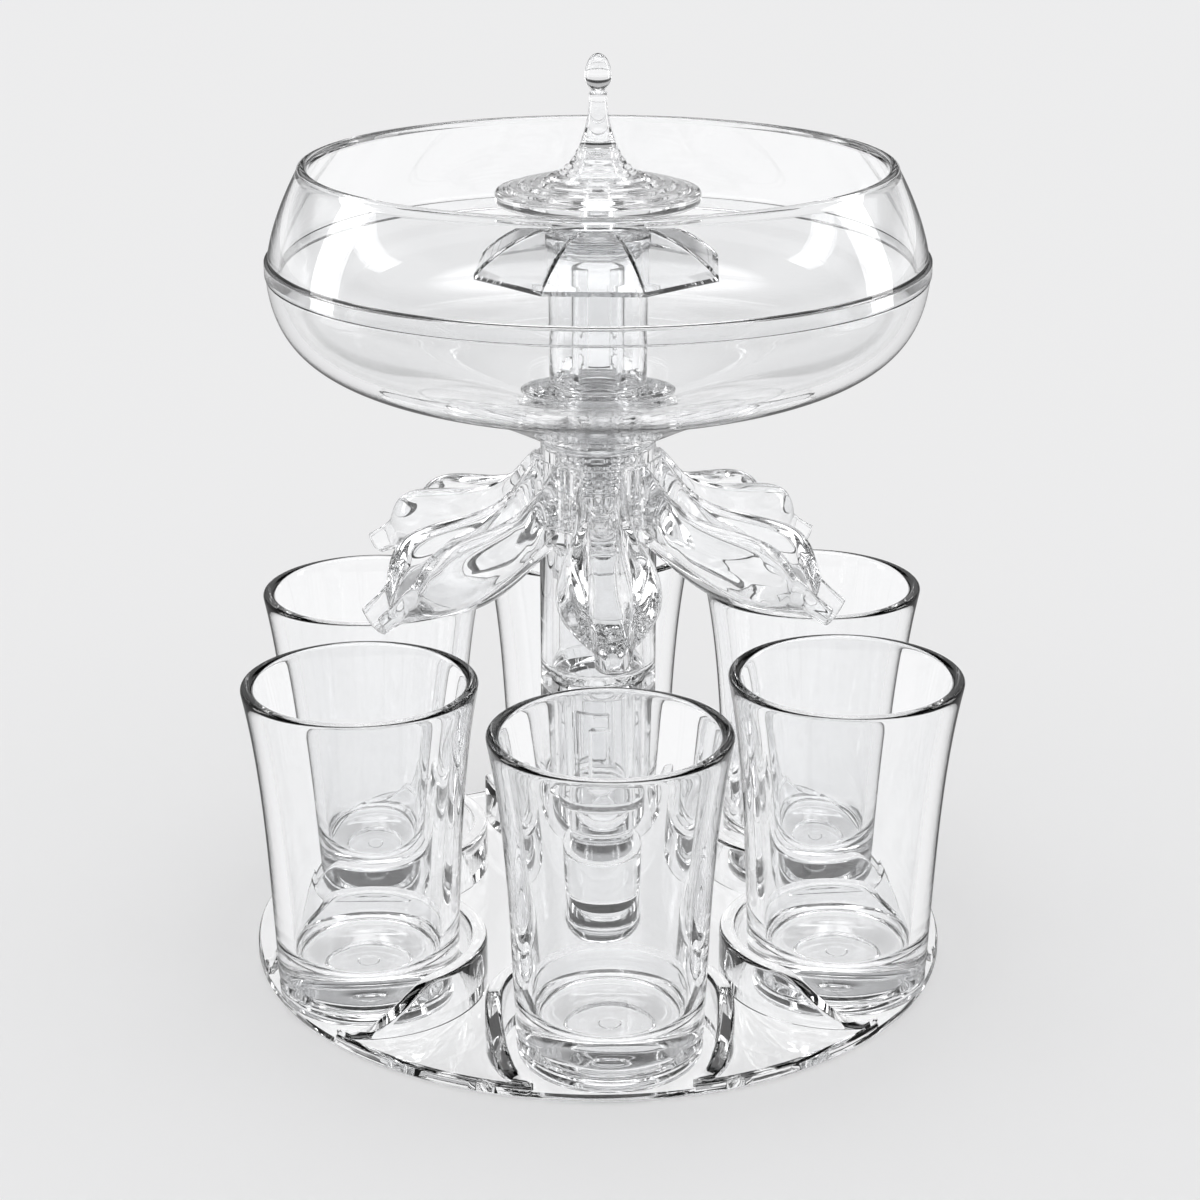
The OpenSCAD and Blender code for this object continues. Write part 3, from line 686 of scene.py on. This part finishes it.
def make_bowl_upper():
    z0, z1, n = LAP_TOP + 0.1, BOWL_TOP - 1.3, 26
    low, lap, lip = JOINT_Z + SLIT, LAP_R + 0.1, BOWL_R + 0.25
    heights = [z0 + (z1 - z0) * i / n for i in range(1, n)]
    outer = [(upper_r(z), z) for z in heights]
    inner = [(upper_r(z) - SHELL_T, z) for z in heights[::-1]]
    r1 = upper_r(z1)
    place(turned("bowl_upper_shell", [
        (lap, low, 0.15), (lip, low, 0.35), (lip, z0, 0.25), (upper_r(z0), z0 + 0.06)]
        + outer + [
        (r1, z1), (r1 - 0.35, BOWL_TOP, 1.0), (r1 - 2.15, BOWL_TOP, 1.0), (r1 - SHELL_T, z1)]
        + inner + [
        (upper_r(z0) - SHELL_T, z0, 0.25), (lap, z0, 0.2)], seg=256, sharp=40), "head", "bowl_upper")


# ---------------------------------------------------------------- valve
def make_bell_tube():
    root, pitch = THREAD_R - 0.6, 1.5
    thread = []
    for i in range(6):
        z = 107.5 + pitch * i
        thread += [(root, z), (root + 0.5, z + 0.45), (root + 0.5, z + 0.75), (root, z + 1.2)]
    tube = turned("bell_tube_body", [
        (PIPE_R + 0.08, 107.0, 0.2), (root, 107.0, 0.3)] + thread + [
        (root, SEAL_TOP), (8.5, SEAL_TOP), (8.5, FLANGE_Z + SLIT), (16.8, FLANGE_Z + SLIT, 0.4), (16.8, 125.4, 0.5),
        (14.8, 125.7, 0.3), (14.5, 126.1, 0.3), (12.8, 126.3, 0.3), (12.5, 126.7, 0.3), (BELL_R, 126.8, 0.5),
        (BELL_R, 157.9, 0.3), (10.95, 158.1, 0.3), (10.95, BELL_TOP, 0.45), (BELL_IN, BELL_TOP, 0.35),
        (BELL_IN, 127.5, 1.0), (PIPE_R + 0.08, 127.5, 0.3)])
    for k in range(4):
        window = box_mesh((7.4, -2.5, 128.5), (11.4, 2.5, 133.0), 90 * k + 45)
        level = [e for e in window.edges if abs(e.verts[0].co.z - e.verts[1].co.z) < 1e-6
                 and (e.verts[0].co - e.verts[1].co).length < 4.5 * MM]
        bmesh.ops.bevel(window, geom=level, offset=1.0 * MM, segments=4, affect="EDGES")
        combine(tube, to_object("window", window), "DIFFERENCE")
    place(tube, "head", "bell_tube")


def make_standpipe():
    pipe = turned("standpipe_body", [
        (PIPE_IN, 100.0, 0.3), (PIPE_R, 100.0, 0.3), (PIPE_R, PIPE_TOP, 0.45), (PIPE_IN, PIPE_TOP, 0.45)], seg=96)
    combine(pipe, to_object("slit", box_mesh((-2.2, -10.0, 133.0), (2.2, 0.0, 170.0))), "DIFFERENCE")
    place(pipe, "head", "standpipe")


def make_seals():
    low, top = HUB_NECK_TOP + SLIT, SEAL_TOP - SLIT
    place(turned("neck_seal_ring", [(9.2, low, 0.3), (12.2, low, 0.3), (12.2, top, 0.3), (9.2, top, 0.3)], seg=128),
          "head", "neck_seal")
    low, top = BOSS_FLAT_Z + 0.03, FLANGE_Z - SLIT
    place(turned("flange_gasket_ring", [
        (BOWL_HOLE, low, 0.3), (16.0, low, 0.4), (16.0, top, 0.4), (BOWL_HOLE, top, 0.3)], seg=128),
        "head", "flange_gasket")


# ---------------------------------------------------------------- umbrella
RIB_H, RIB_HALF_W = 0.34, 0.62


def rib_z(r):
    return UMBRELLA_TOP - 9.2 * (r / UMBRELLA_R) ** 2.8


def make_umbrella():
    """Eight flat gores between arched ribs; each rib is a small bead along the crease."""
    bm = bmesh.new()
    gores, hole, thick, n = 8, 2.9, 1.0, 34
    radii = [hole + (UMBRELLA_R - hole) * i / n for i in range(n + 1)]
    loops = [(r, 0.0, 1.0) for r in radii] + [(UMBRELLA_R + 0.02, -0.5 * thick, 0.0)]
    loops += [(r, -thick, 0.0) for r in radii[::-1]]
    rows = []
    for r, drop, bead in loops:
        row = []
        chord = 2 * r * math.sin(math.radians(180 / gores))
        steps = [0.0] + [min(d / chord, 0.12 * (i + 1)) for i, d in enumerate((0.22, 0.42, RIB_HALF_W))]
        steps = steps + [0.5] + [1 - v for v in steps[:0:-1]]
        share = 1.0 if 11.8 < r < 26.6 else 0.25
        for i in range(gores):
            a0 = 360 / gores * (i + 0.5) + UMBRELLA_TURN
            (x0, y0), (x1, y1) = polar(a0, r), polar(a0 + 360 / gores, r)
            for f in steps:
                off = min(f, 1 - f) * chord
                lift = bead * RIB_H * max(0.0, 1 - (off / RIB_HALF_W) ** 2) * share
                row.append(vertex(bm, (1 - f) * x0 + f * x1, (1 - f) * y0 + f * y1, rib_z(r) + drop + lift))
        rows.append(row)
    bridge(bm, rows, closed=True)
    bmesh.ops.recalc_face_normals(bm, faces=bm.faces)
    place(to_object("umbrella_shell", bm, sharp=30), "stopper", "umbrella_baffle")


# ---------------------------------------------------------------- stopper
# flare from the disc up to the stem as Bezier control points (r, z)
FLARE = [(21.2, 170.6), (17.3, 172.2), (5.4, 174.9), (6.1, 170.8), (0.8, 186.4), (1.95, 190.6)]
RIPPLE_EDGE_R, RIPPLE_TOP = 8.0, 181.0


def rippled_flare():
    """The flare with ripples that run up the disc and fade out on the stem."""
    n = 220
    line = [bezier(FLARE, i / n) for i in range(n + 1)]
    run, out = 0.0, []
    for (x0, z0), (x1, z1), (x2, z2) in zip(line, line[1:], line[2:]):
        run += math.hypot(x1 - x0, z1 - z0)
        d = math.hypot(x2 - x0, z2 - z0)
        nx, nz = (z2 - z0) / d, -(x2 - x0) / d
        if not (nz > 0 or nx > 0):
            nx, nz = -nx, -nz
        on_disc = x1 > RIPPLE_EDGE_R
        depth = 0.30 if on_disc else 0.30 - 0.20 * smooth((RIPPLE_EDGE_R - x1) / 3.5)
        depth *= smooth((RIPPLE_TOP - z1) / 2.0) * smooth(run / 1.5)
        wave = depth * (0.5 * math.cos(2 * math.pi * run / (3.0 if on_disc else 1.9)) - 0.5)
        out.append((x1 + nx * wave, z1 + nz * wave))
    return out


def egg():
    """The grip's outline, longer above its widest place than below it."""
    n, start, above, below = 24, -72, GRIP_TOP - EGG_Z, 3.3
    line = []
    for i in range(1, n):
        a = math.radians(start + (90 - start) * i / n)
        line.append((max(0.0, EGG_R * math.cos(a)), EGG_Z + (above if a > 0 else below) * math.sin(a)))
    return line + [(0.0, GRIP_TOP)]


def make_stopper():
    hollow = [(0, 179.5), (2.7, 179.5, 0.5), (3.4, 175.0), (4.6, 172.0), (6.4, 169.0, 0.6)]
    boss = [(2.45, 168.0, 0.2), (2.45, 164.2, 0.2), (8.4, 164.2, 0.4), (9.2, 163.45), (9.2, 163.15, 0.1),
            (10.1, 163.15, 0.25), (10.35, 164.05), (10.9, 166.0), (11.5, 167.9, 0.5)]
    disc = [(DISC_R, 167.9, 0.8), (DISC_R, 170.1, 0.7)]
    place(turned("drop_stopper_body", hollow + boss + disc + rippled_flare() + egg(), seg=192, sharp=38),
          "stopper", "drop_stopper")


def make_plug():
    top, pin_r, pin_top = BELL_TOP - SLIT, 2.35, 167.0
    place(turned("stopper_plug_body", [
        (0, 158.9), (6.7, 158.9, 0.5), (6.7, 156.5, 0.3), (PLUG_R, 156.5, 0.7), (PLUG_R, GROOVE_LOW, 0.15),
        (GROOVE_R, GROOVE_LOW), (GROOVE_R, GROOVE_TOP), (PLUG_R, GROOVE_TOP, 0.15), (PLUG_R, top, 0.2),
        (pin_r, top, 0.3), (pin_r, pin_top, 0.4), (0, pin_top)], seg=128), "stopper", "stopper_plug")
    cord_r, middle_r, middle_z = 0.5, GROOVE_R + 0.6, (GROOVE_LOW + GROOVE_TOP) / 2
    ring = [polar(a, cord_r) for a in range(0, 360, 24)]
    place(to_object("stopper_ring_body", lathe([(middle_r + x, middle_z + y) for x, y in ring], seg=128), 60),
          "stopper", "stopper_ring")


# ---------------------------------------------------------------- glasses
GLASS_LOW, GLASS_BED, RIM_CURVE = TRAY_FLOOR + 0.03, 12.0, 2.6


def glass_r(u):
    return FOOT_R + RIM_CURVE * u + (RIM_R - FOOT_R - RIM_CURVE) * u ** 4


def make_glass(k):
    name = "shot_glass_%d" % (k + 1)
    h, n = GLASS_TOP - GLASS_LOW, 40
    outer = [(glass_r(i / n), GLASS_LOW + h * i / n) for i in range(3, n)]
    inner = [(glass_r(i / n) - RIM_WALL - 1.3 * (1 - i / n), GLASS_LOW + h * i / n) for i in range(n - 1, 9, -1)]
    foot = [(0, 3.13), (2.2, 3.13, 0.2), (2.5, 3.5, 0.3), (9.3, 3.5, 0.5), (9.8, GLASS_LOW, 0.5),
            (FOOT_R, GLASS_LOW, 1.5), (19.38, 5.0, 0.2), (19.1, 5.3, 0.15), (19.1, 5.8, 0.15), (19.42, 6.1, 0.2)]
    rim = [(RIM_R - 0.05, GLASS_TOP, 1.25), (RIM_R - RIM_WALL + 0.05, GLASS_TOP, 1.25)]
    bed = [(inner[-1][0] - 0.25, GLASS_BED, 5.0), (0, GLASS_BED)]
    profile = rounded(foot + outer + rim + inner + bed, step=10)
    place(to_object(name + "_body", lathe(profile, seg=160, at=polar(TURNS[k])), 40), "glass_%d" % (k + 1), name)


make_tray()
make_post()
make_column()
make_hub()
for index in range(COUNT):
    make_arm(index)
make_bowl_lower()
make_bowl_upper()
make_bell_tube()
make_standpipe()
make_seals()
make_umbrella()
make_stopper()
make_plug()
for index in range(COUNT):
    make_glass(index)
